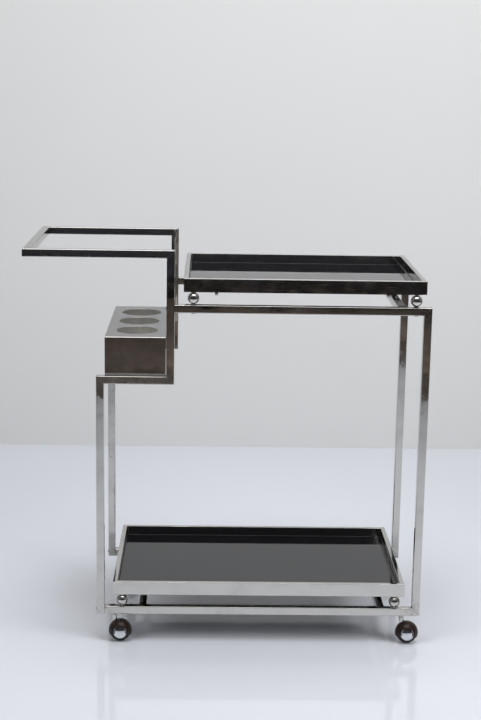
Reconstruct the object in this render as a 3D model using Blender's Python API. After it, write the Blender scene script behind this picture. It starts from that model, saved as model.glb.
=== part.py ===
"""Bar cart on wheels: a welded frame of square chromed tube, two glass trays on ball spacers,
a sheet steel bottle box and four hooded ball castors.

Units are metres. +X runs along the cart from the push handle, +Y from front to back, +Z up.
The origin is on the floor, under the middle of the cart.
"""

import math

import bmesh
import bpy
from mathutils import Matrix, Vector

# ---- Driving dimensions ----
OVERALL_LENGTH = 0.863      # handle end to the far legs
HANDLE_REACH = 0.153        # handle end to the near legs
FRAME_DEPTH = 0.394         # outside to outside of the two side frames
POST_SETBACK = 0.149        # near legs' outer face to the posts
HANDLE_HEIGHT = 0.868       # floor to the top of the handle
HANDLE_RISE = 0.115         # top of the upper rails to the top of the handle
SHELF_DROP = 0.155          # top of the upper rails down to the top of the bars under the bottle box
RAIL_CLEARANCE = 0.064      # floor to the underside of the lower rails

TUBE = 0.017                # side of the square tube
TUBE_WALL = 0.0015
TUBE_CORNER = 0.0016        # outer corner radius of the tube
CORNER_STEPS = 2            # straight steps in each rounded tube corner
END_PLATE = 0.004           # welded plate that closes a tube end and takes a bolt's thread

LOWER_CROSS_NEAR = 0.100    # near legs' outer face to the near cross bar's middle
LOWER_CROSS_FAR = 0.085     # far legs' outer face to the far cross bar's middle
UPPER_CROSS_FAR = 0.062     # far legs' outer face to the upper cross bar's middle

TRAY_PROUD = 0.001          # how far a tray stands out beyond the side frames
UPPER_TRAY_GAP = 0.019      # posts to the upper tray
UPPER_TRAY_INSET = 0.013    # far legs' outer face to the upper tray's end
LOWER_TRAY_GAP = 0.018      # legs to the lower tray, at both ends
RIM_HEIGHT = 0.029
RIM_WIDTH = 0.010
LEDGE_WIDTH = 0.008         # how far the ledge under the glass stands in from the rim
LEDGE_THICKNESS = 0.0024
RIM_WALL = 0.0015
GLASS_THICKNESS = 0.005
GLASS_EDGE = 0.0008         # ground bevel round the glass
RIM_EDGE = 0.0008
DRAIN_HOLE = 0.0015         # radius of the plating drain holes under the rim

SPACER_HEIGHT = 0.028       # rail to tray
SPACER_BALL = 0.025         # diameter
SPACER_NECK = 0.0045        # radius of the short necks above and below the ball
SPACER_INSET = 0.0205       # tray end to the spacers
SCREW_SHANK = 0.002         # radius
SCREW_HEAD = 0.0042
SCREW_HEAD_HEIGHT = 0.0022
SCREW_GRIP = 0.0018         # how far a tray screw reaches into the rim's ledge

BOLT_SHANK = 0.003
BOLT_HEAD = 0.0048
BOLT_HEAD_HEIGHT = 0.0022

BOX_SIDE_GAP = 0.0012       # box to leg line and to post
BOX_REST = 0.0085           # how much of each short bar the box covers
BOX_HEIGHT = 0.084          # with its base plate
BOX_WALL = 0.0015
BOX_BASE = 0.004
BOX_EDGE = 0.0012
BOTTLE_HOLE = 0.089         # diameter
BOTTLE_WEB = 0.021          # metal between two bottle holes
BOTTLE_COUNT = 3

CASTOR_INSET = 0.0385       # frame ends to the castors' swivel axes
WHEEL_RADIUS = 0.0235
WHEEL_HALF_WIDTH = 0.53 * WHEEL_RADIUS
WHEEL_FACE_RECESS = 0.0015
CASTOR_TRAIL = 0.54 * WHEEL_RADIUS          # swivel axis to axle
HOOD_GAP = 0.0007           # tread to hood
HOOD_THICKNESS = 0.0014
HOOD_SKIRT = 0.30 * WHEEL_RADIUS            # how far the hood comes down below the axle
WINDOW_HALF_WIDTH = 0.66 * WHEEL_RADIUS     # side windows of the hood, round the hub caps
WINDOW_RISE = 0.50 * WHEEL_RADIUS           # top of a window above the axle
WINDOW_CORNER = 0.34 * WHEEL_RADIUS
WINDOW_STEPS = 4            # straight steps in each upper corner of a window
CHEEK_HALF_WIDTH = 0.0065   # side arms that carry the axle
CHEEK_THICKNESS = 0.0015
AXLE_RADIUS = 0.0025
CAP_RADIUS = 0.61 * WHEEL_RADIUS
CAP_BULGE = 0.20 * WHEEL_RADIUS
CAP_RIM = 0.0012
STEM_RADIUS = 0.0055
STEM_COLLAR = 0.0063
STEM_COLLAR_HEIGHT = 0.0022
STEM_SPIGOT = 0.0035        # part of the stem that turns in the rail
SPIGOT_LENGTH = 0.010

GAP = 0.0003                # clearance between touching pieces
TURN_GAP = 0.0004           # clearance between turning pieces
HOLE_STEPS = 8              # sides of small round holes and shanks
PIN_STEPS = 12              # sides of spacers and stems
ROUND_STEPS = 20            # sides of castor pieces
MOUTH_STEPS = 32            # sides of the bottle holes
ARC_STEPS = 6               # straight steps along a turned ball from edge to edge
DOME_STEPS = 3              # straight steps up a hub cap or a screw head
SHARP = math.radians(35)

# ---- Places that follow from them ----
X_END = OVERALL_LENGTH / 2
X_NEAR = -X_END + HANDLE_REACH
FRAME_Y = (FRAME_DEPTH - TUBE) / 2
HALF_TUBE = TUBE / 2
LEG_X = X_NEAR + HALF_TUBE
FAR_LEG_X = X_END - HALF_TUBE
POST_X = X_NEAR + POST_SETBACK + HALF_TUBE
HANDLE_X = -X_END + HALF_TUBE
TOP_RAIL_HEIGHT = HANDLE_HEIGHT - HANDLE_RISE
SHELF_HEIGHT = TOP_RAIL_HEIGHT - SHELF_DROP
LOWER_RAIL_HEIGHT = RAIL_CLEARANCE + TUBE
HANDLE_Z = HANDLE_HEIGHT - HALF_TUBE
TOP_RAIL_Z = TOP_RAIL_HEIGHT - HALF_TUBE
SHELF_Z = SHELF_HEIGHT - HALF_TUBE
LOWER_RAIL_Z = RAIL_CLEARANCE + HALF_TUBE
TRAY_DEPTH = FRAME_DEPTH + 2 * TRAY_PROUD
SIDES = (("front", -1), ("back", 1))
ENDS = (("left", -1), ("right", 1))

CHROME = ("chromed steel", (0.78, 0.78, 0.77), 0.08, 1.0)
POLISHED = ("polished steel sheet", (0.70, 0.69, 0.67), 0.10, 1.0)
BLACK_GLASS = ("black glass", (0.012, 0.012, 0.014), 0.04, 0.0)
DARK_SHELL = ("dark brown castor shell", (0.035, 0.024, 0.021), 0.25, 0.0)
TREAD = ("black tread", (0.02, 0.02, 0.022), 0.5, 0.0)
SCREW_STEEL = ("dark screw steel", (0.32, 0.31, 0.30), 0.35, 1.0)


def start_empty():
    for old in list(bpy.data.objects):
        bpy.data.objects.remove(old)


def material(finish):
    """The material of a finish: its name, colour, roughness and metallic value."""
    name, colour, roughness, metallic = finish
    found = bpy.data.materials.get(name)
    if found:
        return found
    made = bpy.data.materials.new(name)
    made.use_nodes = True
    shader = made.node_tree.nodes["Principled BSDF"]
    shader.inputs["Base Color"].default_value = (*colour, 1.0)
    shader.inputs["Roughness"].default_value = roughness
    shader.inputs["Metallic"].default_value = metallic
    return made


def add_object(name, mesh_builder, finish, place=(0, 0, 0), parent=None):
    """Puts a bmesh into a new named object at a place, with smooth shading on its round stretches."""
    bmesh.ops.recalc_face_normals(mesh_builder, faces=mesh_builder.faces)
    mesh = bpy.data.meshes.new(name)
    mesh_builder.to_mesh(mesh)
    mesh_builder.free()
    mesh.shade_smooth()
    mesh.set_sharp_from_angle(angle=SHARP)
    mesh.materials.append(material(finish))
    made = bpy.data.objects.new(name, mesh)
    bpy.context.scene.collection.objects.link(made)
    made.location = place
    made.parent = parent
    return made


def copy_object(source, name, place, parent=None):
    """Another object with the same mesh, and with its own copies of the modifiers."""
    made = source.copy()
    made.name = name
    bpy.context.scene.collection.objects.link(made)
    made.location = place
    made.parent = parent
    return made


def cut(target, cutter, operation="DIFFERENCE"):
    """Adds an exact Boolean to the target and keeps the cutter out of the model."""
    cutter.hide_render = True
    cutter.display_type = "WIRE"
    step = target.modifiers.new(operation.lower(), "BOOLEAN")
    step.operation = operation
    step.solver = "EXACT"
    step.object = cutter


def lathe(profile, steps, axis="Z"):
    """Turns a closed outline of (radius, height) points round an axis. Radius 0 makes a pole."""
    built = bmesh.new()
    rings = []
    for radius, height in profile:
        if radius == 0:
            rings.append([built.verts.new((0, 0, height))])
            continue
        ring = []
        for i in range(steps):
            angle = 2 * math.pi * i / steps
            ring.append(built.verts.new((radius * math.cos(angle), radius * math.sin(angle), height)))
        rings.append(ring)
    for low, high in zip(rings, rings[1:] + rings[:1]):
        if len(low) == 1 and len(high) == 1:
            continue
        for i in range(steps):
            j = (i + 1) % steps
            corners = [low[i % len(low)], low[j % len(low)], high[j % len(high)], high[i % len(high)]]
            built.faces.new(list(dict.fromkeys(corners)))
    if axis == "Y":
        bmesh.ops.rotate(built, verts=built.verts, matrix=Matrix.Rotation(math.pi / 2, 3, "X"))
    if axis == "X":
        bmesh.ops.rotate(built, verts=built.verts, matrix=Matrix.Rotation(math.pi / 2, 3, "Y"))
    return built


def cylinder(radius, low, high, steps=HOLE_STEPS, axis="Z"):
    return lathe([(0, low), (radius, low), (radius, high), (0, high)], steps, axis)


def block(low, high, edge=0.0):
    """A box between two corners, with its edges chamfered when an edge width is given."""
    built = bmesh.new()
    bmesh.ops.create_cube(built, size=1.0)
    size = Vector(high) - Vector(low)
    middle = (Vector(high) + Vector(low)) / 2
    for vertex in built.verts:
        vertex.co = middle + Vector(c * s for c, s in zip(vertex.co, size))
    if edge:
        bmesh.ops.bevel(built, geom=built.edges, offset=edge, segments=2, profile=0.5, affect="EDGES")
    return built


def rounded_square(half, corner, steps):
    """Corner points of a square with rounded corners, or a plain square when corner is 0."""
    points = []
    for quarter in range(4):
        turn = quarter * math.pi / 2
        middle = Vector((half - corner, half - corner))
        for i in range(steps + 1 if corner else 1):
            angle = i * math.pi / 2 / steps
            point = middle + corner * Vector((math.cos(angle), math.sin(angle)))
            points.append(Matrix.Rotation(turn, 2) @ point)
    return points


# A tube runs along one axis; its section's first and second directions are the other two axes.
TUBE_AXES = {"X": (1, 2), "Y": (0, 2), "Z": (0, 1)}
AXIS_INDEX = {"X": 0, "Y": 1, "Z": 2}


def tube(name, axis, middle, low_end, high_end):
    """A square tube along an axis through the point middle.

    Each end is (place, slope along the first section direction, slope along the second, closed).
    A mitred end has a slope of 1 or -1; a closed end has a welded plate. The cut faces stand back
    from their place by half of the joint clearance.
    """
    built = bmesh.new()
    first, second = TUBE_AXES[axis]
    along = AXIS_INDEX[axis]
    outer_points = rounded_square(HALF_TUBE, TUBE_CORNER, CORNER_STEPS)
    inner_points = rounded_square(HALF_TUBE - TUBE_WALL, 0, 1)

    def ring(points, end, inward, depth):
        place, slope_first, slope_second, _ = end
        slant = math.hypot(1, slope_first, slope_second)
        made = []
        for point in points:
            co = Vector(middle)
            co[first] += point.x
            co[second] += point.y
            co[along] = place + slope_first * point.x + slope_second * point.y
            co[along] += inward * (GAP / 2 * slant + depth)
            made.append(built.verts.new(co))
        return made

    outer = []
    inner = []
    for end, inward in ((low_end, 1), (high_end, -1)):
        closed = end[3]
        outer.append(ring(outer_points, end, inward, 0))
        inner.append(ring(inner_points, end, inward, END_PLATE if closed else 0))
        if closed:
            built.faces.new(outer[-1])
            built.faces.new(inner[-1])
            continue
        bridge_mouth(built, outer[-1], inner[-1])
    for rings in (outer, inner):
        count = len(rings[0])
        for i in range(count):
            j = (i + 1) % count
            built.faces.new((rings[0][i], rings[0][j], rings[1][j], rings[1][i]))
    return add_object(name, built, CHROME)


def bridge_mouth(built, outer, inner):
    """Faces between the rounded outer edge and the plain inner edge of an open tube end."""
    per_corner = len(outer) // len(inner)
    for corner, vertex in enumerate(inner):
        start = corner * per_corner
        run = [outer[(start + i) % len(outer)] for i in range(per_corner)]
        built.faces.new([vertex] + run)
        following = outer[(start + per_corner) % len(outer)]
        built.faces.new((vertex, run[-1], following, inner[(corner + 1) % len(inner)]))


def build_frame():
    """The two side frames and the bars across them, tube by tube. Returns the tubes by name."""
    tubes = {}
    post_right = POST_X + HALF_TUBE
    leg_right = LEG_X + HALF_TUBE
    for side, sign in SIDES:
        y = sign * FRAME_Y
        tubes["handle_bar_" + side] = tube(
            "handle_bar_" + side, "X", (0, y, HANDLE_Z), (HANDLE_X, -sign, 0, False), (POST_X, 0, 1, False))
        tubes["post_" + side] = tube(
            "post_" + side, "Z", (POST_X, y, 0), (SHELF_Z, -1, 0, False), (HANDLE_Z, 1, 0, False))
        tubes["shelf_bar_" + side] = tube(
            "shelf_bar_" + side, "X", (0, y, SHELF_Z), (LEG_X, 0, -1, False), (POST_X, 0, -1, False))
        tubes["left_leg_" + side] = tube(
            "left_leg_" + side, "Z", (LEG_X, y, 0),
            (RAIL_CLEARANCE, 0, 0, True), (SHELF_Z, -1, 0, False))
        tubes["top_rail_" + side] = tube(
            "top_rail_" + side, "X", (0, y, TOP_RAIL_Z), (post_right, 0, 0, True), (FAR_LEG_X, 0, 1, False))
        tubes["right_leg_" + side] = tube(
            "right_leg_" + side, "Z", (FAR_LEG_X, y, 0),
            (LOWER_RAIL_Z, -1, 0, False), (TOP_RAIL_Z, 1, 0, False))
        tubes["lower_rail_" + side] = tube(
            "lower_rail_" + side, "X", (0, y, LOWER_RAIL_Z),
            (leg_right, 0, 0, True), (FAR_LEG_X, 0, -1, False))
    tubes["handle_cross_bar"] = tube(
        "handle_cross_bar", "Y", (HANDLE_X, 0, HANDLE_Z), (-FRAME_Y, 1, 0, False), (FRAME_Y, -1, 0, False))
    inside = FRAME_Y - HALF_TUBE
    for name, x, z in (
        ("upper_cross_bar", X_END - UPPER_CROSS_FAR, TOP_RAIL_Z),
        ("lower_cross_bar_left", X_NEAR + LOWER_CROSS_NEAR, LOWER_RAIL_Z),
        ("lower_cross_bar_right", X_END - LOWER_CROSS_FAR, LOWER_RAIL_Z),
    ):
        tubes[name] = tube(name, "Y", (x, 0, z), (-inside, 0, 0, False), (inside, 0, 0, False))
    return tubes


def headed_pin(head, head_height, shank, length):
    """Outline of a screw on its axis: a domed head below height 0 and a shank above it."""
    profile = []
    for i in range(DOME_STEPS + 1):
        angle = math.pi / 2 * i / DOME_STEPS
        profile.append((head * math.sin(angle), -head_height * math.cos(angle)))
    return profile + [(shank, 0), (shank, length), (0, length)]


def build_frame_bolts(tubes):
    """Bolts that hold the far half of each side frame to a post and to a near leg."""
    reach = TUBE + END_PLATE + GAP
    profile = headed_pin(BOLT_HEAD, BOLT_HEAD_HEIGHT, BOLT_SHANK, reach + GAP)
    for side, sign in SIDES:
        y = sign * FRAME_Y
        for place, held, rail, x, z in (
            ("post", "post_", "top_rail_", POST_X, TOP_RAIL_Z),
            ("leg", "left_leg_", "lower_rail_", LEG_X, LOWER_RAIL_Z),
        ):
            outer_face = x - HALF_TUBE
            add_object(
                place + "_bolt_" + side, lathe(profile, HOLE_STEPS, "X"), CHROME, (outer_face - GAP, y, z))
            hole = add_object(
                "cutter_" + place + "_" + side,
                cylinder(BOLT_SHANK + GAP, -TUBE, 2 * TUBE + END_PLATE, axis="X"),
                CHROME, (outer_face, y, z))
            cut(tubes[held + side], hole)
            cut(tubes[rail + side], hole)


LEDGE_INSET = RIM_WIDTH + LEDGE_WIDTH
# Across its width the rim is an upright flat tube with the ledge at its foot: (inset, height).
RIM_SECTION = [
    (0, 0),
    (LEDGE_INSET, 0),
    (LEDGE_INSET, LEDGE_THICKNESS),
    (RIM_WIDTH, LEDGE_THICKNESS),
    (RIM_WIDTH, RIM_HEIGHT - RIM_EDGE),
    (RIM_WIDTH - RIM_EDGE, RIM_HEIGHT),
    (RIM_EDGE, RIM_HEIGHT),
    (0, RIM_HEIGHT - RIM_EDGE),
]
RIM_BORE = [
    (RIM_WALL, RIM_WALL),
    (RIM_WIDTH - RIM_WALL, RIM_WALL),
    (RIM_WIDTH - RIM_WALL, RIM_HEIGHT - RIM_WALL),
    (RIM_WALL, RIM_HEIGHT - RIM_WALL),
]


def rim_mesh(length, section):
    """A section carried round the tray with mitred corners."""
    built = bmesh.new()
    rings = []
    for x_sign, y_sign in ((-1, -1), (1, -1), (1, 1), (-1, 1)):
        ring = []
        for inset, height in section:
            x = x_sign * (length / 2 - inset)
            y = y_sign * (TRAY_DEPTH / 2 - inset)
            ring.append(built.verts.new((x, y, height)))
        rings.append(ring)
    for here, there in zip(rings, rings[1:] + rings[:1]):
        for i in range(len(here)):
            j = (i + 1) % len(here)
            built.faces.new((here[i], here[j], there[j], there[i]))
    return built


def build_tray(level, middle_x, length, rail_top, tubes):
    """One tray: rim, glass, four ball spacers and the screws that hold them to the rails."""
    bottom = rail_top + SPACER_HEIGHT
    rim = add_object(level + "_tray_rim", rim_mesh(length, RIM_SECTION), POLISHED, (middle_x, 0, bottom))
    bore = add_object(level + "_cutter_bore", rim_mesh(length, RIM_BORE), POLISHED, (middle_x, 0, bottom))
    cut(rim, bore)
    for end, x_sign in ENDS:
        drain = cylinder(DRAIN_HOLE, -RIM_WALL, 2 * RIM_WALL)
        x = middle_x + x_sign * (length - RIM_WIDTH) / 2
        cut(rim, add_object(level + "_cutter_drain_" + end, drain, POLISHED, (x, 0, bottom)))
    half_x = length / 2 - RIM_WIDTH - GAP
    half_y = TRAY_DEPTH / 2 - RIM_WIDTH - GAP
    glass_low = LEDGE_THICKNESS + GAP
    glass = block((-half_x, -half_y, glass_low), (half_x, half_y, glass_low + GLASS_THICKNESS), GLASS_EDGE)
    add_object(level + "_glass", glass, BLACK_GLASS, (middle_x, 0, bottom))

    through = SPACER_HEIGHT + TUBE
    screw = headed_pin(SCREW_HEAD, SCREW_HEAD_HEIGHT, SCREW_SHANK, through + SCREW_GRIP)
    for end, x_sign in ENDS:
        x = middle_x + x_sign * (length / 2 - SPACER_INSET)
        for side, sign in SIDES:
            y = sign * FRAME_Y
            tag = level + "_" + side + "_" + end
            add_object("ball_spacer_" + tag, spacer_mesh(), CHROME, (x, y, rail_top))
            add_object(
                "tray_screw_" + tag, lathe(screw, HOLE_STEPS), SCREW_STEEL, (x, y, rail_top - TUBE - GAP))
            hole = add_object(
                "cutter_screw_" + tag,
                cylinder(SCREW_SHANK + GAP, -TUBE - SCREW_HEAD, SPACER_HEIGHT + SCREW_GRIP + GAP),
                CHROME, (x, y, rail_top))
            cut(rim, hole)
            rail = ("top_rail_" if level == "upper" else "lower_rail_") + side
            cut(tubes[rail], hole)


def spacer_mesh():
    """A turned ball with a short neck above and below, bored for its screw."""
    radius = SPACER_BALL / 2
    middle = SPACER_HEIGHT / 2
    neck_angle = math.acos(SPACER_NECK / radius)
    bore = SCREW_SHANK + GAP
    profile = [(bore, GAP), (SPACER_NECK, GAP)]
    for i in range(ARC_STEPS + 1):
        angle = -neck_angle + 2 * neck_angle * i / ARC_STEPS
        profile.append((radius * math.cos(angle), middle + radius * math.sin(angle)))
    profile += [(SPACER_NECK, SPACER_HEIGHT - GAP), (bore, SPACER_HEIGHT - GAP)]
    return lathe(profile, PIN_STEPS)


def build_bottle_box():
    """The folded sheet box with its row of bottle holes, and the plate that closes it below."""
    left = X_NEAR + TUBE + BOX_SIDE_GAP
    right = POST_X - HALF_TUBE - BOX_SIDE_GAP
    half_depth = FRAME_DEPTH / 2 - TUBE + BOX_REST
    middle_x = (left + right) / 2
    half_width = (right - left) / 2
    base = block((-half_width, -half_depth, GAP), (half_width, half_depth, BOX_BASE))
    add_object("bottle_box_base", base, POLISHED, (middle_x, 0, SHELF_HEIGHT))

    low = BOX_BASE + GAP
    shell = add_object(
        "bottle_box_shell",
        block((-half_width, -half_depth, low), (half_width, half_depth, BOX_HEIGHT)),
        POLISHED, (middle_x, 0, SHELF_HEIGHT))
    edge = shell.modifiers.new("folded edges", "BEVEL")
    edge.width = BOX_EDGE
    edge.segments = 2
    edge.limit_method = "ANGLE"
    inner_width = half_width - BOX_WALL
    inner_depth = half_depth - BOX_WALL
    hollow = add_object(
        "cutter_box_inside",
        block((-inner_width, -inner_depth, -BOX_BASE), (inner_width, inner_depth, BOX_HEIGHT - BOX_WALL)),
        POLISHED, (middle_x, 0, SHELF_HEIGHT))
    cut(shell, hollow)
    for i in range(BOTTLE_COUNT):
        y = (i - (BOTTLE_COUNT - 1) / 2) * (BOTTLE_HOLE + BOTTLE_WEB)
        hole = add_object(
            "cutter_bottle_%d" % (i + 1),
            cylinder(BOTTLE_HOLE / 2, BOX_HEIGHT / 2, BOX_HEIGHT + BOX_WALL, MOUTH_STEPS),
            POLISHED, (middle_x, y, SHELF_HEIGHT))
        cut(shell, hole)


def arc_points(radius, start, end, steps):
    """(radial, axial) points along an arc of a sphere, between two angles from its equator."""
    points = []
    for i in range(steps + 1):
        angle = start + (end - start) * i / steps
        points.append((radius * math.cos(angle), radius * math.sin(angle)))
    return points


def wheel_mesh():
    """A ball-shaped tread with flat, slightly dished faces and a bore for the axle. Axis along Y."""
    face_angle = math.asin(WHEEL_HALF_WIDTH / WHEEL_RADIUS)
    face_radius = WHEEL_RADIUS * math.cos(face_angle)
    bore = AXLE_RADIUS + TURN_GAP
    dish = WHEEL_HALF_WIDTH - WHEEL_FACE_RECESS
    profile = [(bore, -dish), (CAP_RADIUS, -dish), (face_radius - WHEEL_FACE_RECESS, -WHEEL_HALF_WIDTH)]
    profile += arc_points(WHEEL_RADIUS, -face_angle, face_angle, ARC_STEPS)
    profile += [(face_radius - WHEEL_FACE_RECESS, WHEEL_HALF_WIDTH), (CAP_RADIUS, dish), (bore, dish)]
    return lathe(profile, ROUND_STEPS, "Y")


CHEEK_INNER = WHEEL_HALF_WIDTH + TURN_GAP
CHEEK_OUTER = CHEEK_INNER + CHEEK_THICKNESS


def axle_mesh():
    """The axle with the two domed hub caps pressed onto its ends. Axis along Y."""
    seat = CHEEK_OUTER + GAP
    rim_top = seat + CAP_RIM
    dome = []
    for i in range(DOME_STEPS):
        angle = math.pi / 2 * i / DOME_STEPS
        dome.append((CAP_RADIUS * math.cos(angle), rim_top + CAP_BULGE * math.sin(angle)))
    half = [(AXLE_RADIUS, seat), (CAP_RADIUS - GAP, seat)] + dome + [(0, rim_top + CAP_BULGE)]
    mirrored = [(radius, -height) for radius, height in reversed(half)]
    return lathe(mirrored + half, ROUND_STEPS, "Y")


def window_cutter():
    """A prism along Y that opens both sides of the hood round the hub caps, down past its skirt."""
    built = bmesh.new()
    reach = 2 * WHEEL_RADIUS
    outline = [(-WINDOW_HALF_WIDTH, -reach), (WINDOW_HALF_WIDTH, -reach)]
    for side in (1, -1):
        for i in range(WINDOW_STEPS + 1):
            step = i if side == 1 else WINDOW_STEPS - i
            angle = math.pi / 2 * step / WINDOW_STEPS
            x = side * (WINDOW_HALF_WIDTH - WINDOW_CORNER + WINDOW_CORNER * math.cos(angle))
            outline.append((x, WINDOW_RISE - WINDOW_CORNER + WINDOW_CORNER * math.sin(angle)))
    front = [built.verts.new((x, -reach, z)) for x, z in outline]
    back = [built.verts.new((x, reach, z)) for x, z in outline]
    built.faces.new(front)
    built.faces.new(back)
    for i in range(len(outline)):
        j = (i + 1) % len(outline)
        built.faces.new((front[i], front[j], back[j], back[i]))
    return built


def hood_parts():
    """The hood's shell, opened by its side windows and joined by the cheeks that carry the axle."""
    inner = WHEEL_RADIUS + HOOD_GAP
    outer = inner + HOOD_THICKNESS
    profile = arc_points(outer, -math.asin(HOOD_SKIRT / outer), math.pi / 2, ARC_STEPS)[:-1]
    profile += [(0, outer), (0, inner)]
    profile += reversed(arc_points(inner, -math.asin(HOOD_SKIRT / inner), math.pi / 2, ARC_STEPS)[:-1])
    shell = add_object("hood", lathe(profile, ROUND_STEPS), DARK_SHELL)
    cut(shell, add_object("cutter_window", window_cutter(), DARK_SHELL))

    cheek_top = math.sqrt(inner ** 2 - CHEEK_OUTER ** 2) + HOOD_THICKNESS / 2
    for side, sign in SIDES:
        cheek = bmesh.new()
        outline = [(CHEEK_HALF_WIDTH, cheek_top), (-CHEEK_HALF_WIDTH, cheek_top)]
        for i in range(ARC_STEPS + 1):
            angle = math.pi + math.pi * i / ARC_STEPS
            outline.append((CHEEK_HALF_WIDTH * math.cos(angle), CHEEK_HALF_WIDTH * math.sin(angle)))
        near = [cheek.verts.new((x, sign * CHEEK_INNER, z)) for x, z in outline]
        far = [cheek.verts.new((x, sign * CHEEK_OUTER, z)) for x, z in outline]
        cheek.faces.new(near)
        cheek.faces.new(far)
        for i in range(len(outline)):
            j = (i + 1) % len(outline)
            cheek.faces.new((near[i], near[j], far[j], far[i]))
        cut(shell, add_object("guide_cheek_" + side, cheek, DARK_SHELL), "UNION")
    bore = cylinder(AXLE_RADIUS + GAP, -WHEEL_RADIUS, WHEEL_RADIUS, axis="Y")
    cut(shell, add_object("cutter_axle", bore, DARK_SHELL))
    return shell


def stem_parts():
    """The chromed stem: it turns in the rail above and its foot is cut to sit on the round hood."""
    rail_bottom = RAIL_CLEARANCE - WHEEL_RADIUS
    collar_low = rail_bottom - GAP - STEM_COLLAR_HEIGHT
    edge = STEM_COLLAR - STEM_RADIUS
    profile = [
        (0, 0),
        (STEM_RADIUS, 0),
        (STEM_RADIUS, collar_low - edge),
        (STEM_COLLAR, collar_low),
        (STEM_COLLAR, rail_bottom - GAP),
        (STEM_SPIGOT, rail_bottom - GAP),
        (STEM_SPIGOT, rail_bottom + SPIGOT_LENGTH),
        (0, rail_bottom + SPIGOT_LENGTH),
    ]
    stem = add_object("stem", lathe(profile, PIN_STEPS), CHROME, (-CASTOR_TRAIL, 0, 0))
    ball = WHEEL_RADIUS + HOOD_GAP + HOOD_THICKNESS + GAP
    full = math.pi / 2
    outline = [(0, -ball)] + arc_points(ball, -full, full, 2 * ARC_STEPS)[1:-1] + [(0, ball)]
    cut(stem, add_object("cutter_ball", lathe(outline, ROUND_STEPS), CHROME))
    return stem


def settle(made):
    """Replaces an object's mesh by the result of its modifiers, so that copies can share it."""
    evaluated = made.evaluated_get(bpy.context.evaluated_depsgraph_get())
    mesh = bpy.data.meshes.new_from_object(evaluated)
    made.modifiers.clear()
    made.data = mesh


def build_castors(tubes):
    """Four castors. Each stands on an empty on its swivel axis; its wheel's origin is on the axle."""
    bpy.context.view_layer.update()
    hood = hood_parts()
    stem = stem_parts()
    wheel = add_object("wheel", wheel_mesh(), TREAD)
    axle = add_object("axle", axle_mesh(), CHROME)
    for master in (hood, stem):
        settle(master)
    for side, sign in SIDES:
        for end, _ in ENDS:
            tag = side + "_" + end
            x = X_NEAR + CASTOR_INSET if end == "left" else X_END - CASTOR_INSET
            y = sign * FRAME_Y
            swivel = bpy.data.objects.new("swivel_axis_" + tag, None)
            bpy.context.scene.collection.objects.link(swivel)
            swivel.location = (x, y, WHEEL_RADIUS)
            copy_object(stem, "castor_stem_" + tag, (0, 0, 0), swivel)
            for master, name in ((hood, "castor_hood_"), (wheel, "castor_wheel_"), (axle, "castor_axle_")):
                copy_object(master, name + tag, (CASTOR_TRAIL, 0, 0), swivel)
            hole = add_object(
                "cutter_castor_" + tag,
                cylinder(STEM_SPIGOT + GAP, -TUBE_WALL, 2 * TUBE_WALL),
                CHROME, (x, y, RAIL_CLEARANCE))
            cut(tubes["lower_rail_" + side], hole)
    for master in (hood, stem, wheel, axle):
        bpy.data.objects.remove(master)


def build_cart():
    start_empty()
    tubes = build_frame()
    build_frame_bolts(tubes)
    upper_near = POST_X + HALF_TUBE + UPPER_TRAY_GAP
    upper_far = X_END - UPPER_TRAY_INSET
    build_tray("upper", (upper_near + upper_far) / 2, upper_far - upper_near, TOP_RAIL_HEIGHT, tubes)
    lower_length = OVERALL_LENGTH - HANDLE_REACH - 2 * (TUBE + LOWER_TRAY_GAP)
    build_tray("lower", (X_NEAR + X_END) / 2, lower_length, LOWER_RAIL_HEIGHT, tubes)
    build_bottle_box()
    build_castors(tubes)


build_cart()
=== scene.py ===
import math

import bmesh
import bpy
from mathutils import Matrix, Vector


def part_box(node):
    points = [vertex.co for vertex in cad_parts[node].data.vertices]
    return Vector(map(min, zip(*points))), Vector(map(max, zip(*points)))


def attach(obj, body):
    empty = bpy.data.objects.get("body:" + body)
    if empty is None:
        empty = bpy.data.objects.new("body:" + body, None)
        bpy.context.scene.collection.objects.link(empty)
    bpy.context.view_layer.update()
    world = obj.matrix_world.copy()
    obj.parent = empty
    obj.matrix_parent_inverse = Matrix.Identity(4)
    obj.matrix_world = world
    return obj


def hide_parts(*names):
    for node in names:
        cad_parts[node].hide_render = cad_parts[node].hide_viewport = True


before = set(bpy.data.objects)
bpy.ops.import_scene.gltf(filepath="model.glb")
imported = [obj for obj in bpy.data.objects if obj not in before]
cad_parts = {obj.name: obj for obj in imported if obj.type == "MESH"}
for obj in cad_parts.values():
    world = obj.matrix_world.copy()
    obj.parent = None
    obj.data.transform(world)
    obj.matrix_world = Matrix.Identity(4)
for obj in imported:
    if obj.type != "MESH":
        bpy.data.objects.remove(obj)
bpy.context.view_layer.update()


# ---- Square tube of the frame ----
# Both side frames and the bars across them are square steel tube with rounded corners.
# The ends are sawn to mitres, welded and ground flush, and the whole frame is chrome plated.
CART = "cart_frame"
TUBE_CORNER = 0.0016
CORNER_STEPS = 5
SEAM_DEPTH = 0.00006
JOINT_CLOSURE = 0.00013
WELD_HEAT = ((0.0, 1.0), (0.0002, 1.0), (0.005, 0.7), (0.024, 0.0))
DRAWN_LINES = 110.0
POLISHING_RELIEF = 0.012
SCRATCH_DEPTH = 0.01
GRAZING_TINT = (0.78, 0.78, 0.79, 1.0)
WELD_BLOOM = (0.20, 0.18, 0.17, 1.0)
SHARP_ANGLE = 35.0
FLAT_WEIGHT = 80
SIDES = ("front", "back")


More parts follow.
